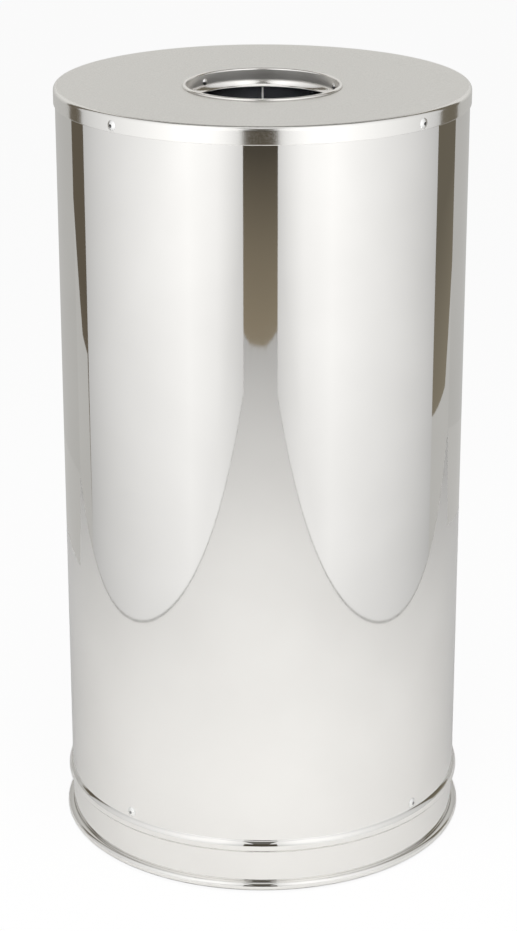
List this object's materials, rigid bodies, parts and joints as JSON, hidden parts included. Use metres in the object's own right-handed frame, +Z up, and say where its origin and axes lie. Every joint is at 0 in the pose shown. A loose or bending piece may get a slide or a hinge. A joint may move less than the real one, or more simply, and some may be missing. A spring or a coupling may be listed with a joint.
{
  "type": "trash can",
  "caption": "Round polished steel trash can with a beaded foot, a flat lift-off cover with a collared round opening, and a lift-out liner with drop handles.",
  "frame": {"origin": "on the floor, on the can's axis", "axes": "+Z up along the can's axis, -Y towards the front, where the picture looks from, +X to the right"},
  "size_m": [0.3809, 0.381, 0.711],
  "materials": {
    "polished_steel": "mirror polish",
    "satin_steel": "satin",
    "collar_steel": "polished",
    "rivet_aluminium": "bright",
    "plain_steel": "mill",
    "galvanised_steel": "spangled galvanised",
    "zinc_wire": "zinc plated",
    "black_rubber": "matt"
  },
  "bodies": {
    "can_body": {"outer_shell": "polished_steel", "foot_ring": "polished_steel", "base_pan": "plain_steel", "base_rivets": "rivet_aluminium", "foot_rivets": "rivet_aluminium", "foot_front_right": "black_rubber", "foot_back_right": "black_rubber", "foot_back_left": "black_rubber", "foot_front_left": "black_rubber"},
    "cover": {"cover_top": "satin_steel", "throat_collar": "collar_steel", "cover_rivets": "rivet_aluminium", "throat_rivets": "rivet_aluminium", "cover_clip_front_right": "plain_steel", "cover_clip_back_right": "plain_steel", "cover_clip_back_left": "plain_steel", "cover_clip_front_left": "plain_steel"},
    "liner": {"liner_wall": "galvanised_steel", "liner_bottom": "galvanised_steel", "liner_rim_wire": "zinc_wire", "liner_lug_right": "zinc_wire", "liner_lug_left": "zinc_wire", "liner_lug_rivets": "rivet_aluminium"},
    "handle_right": {"liner_handle_right": "zinc_wire"},
    "handle_left": {"liner_handle_left": "zinc_wire"}
  },
  "joints": [
    {"name": "cover_lift", "type": "slide", "parent": "can_body", "child": "cover", "axis": [0, 0, 1], "range_m": [0, 0.8]},
    {"name": "liner_lift", "type": "slide", "parent": "can_body", "child": "liner", "axis": [0, 0, 1], "range_m": [0, 0.72]},
    {"name": "handle_right_swing", "type": "hinge", "parent": "liner", "child": "handle_right", "pos_m": [0.16, 0, 0.593], "axis": [0, 1, 0], "range_deg": [0, 180]},
    {"name": "handle_left_swing", "type": "hinge", "parent": "liner", "child": "handle_left", "pos_m": [-0.16, 0, 0.593], "axis": [0, -1, 0], "range_deg": [0, 180]}
  ],
  "couplings": [
    {"joint": "liner_lift", "follows": "cover_lift", "ratio": 0.9}
  ]
}
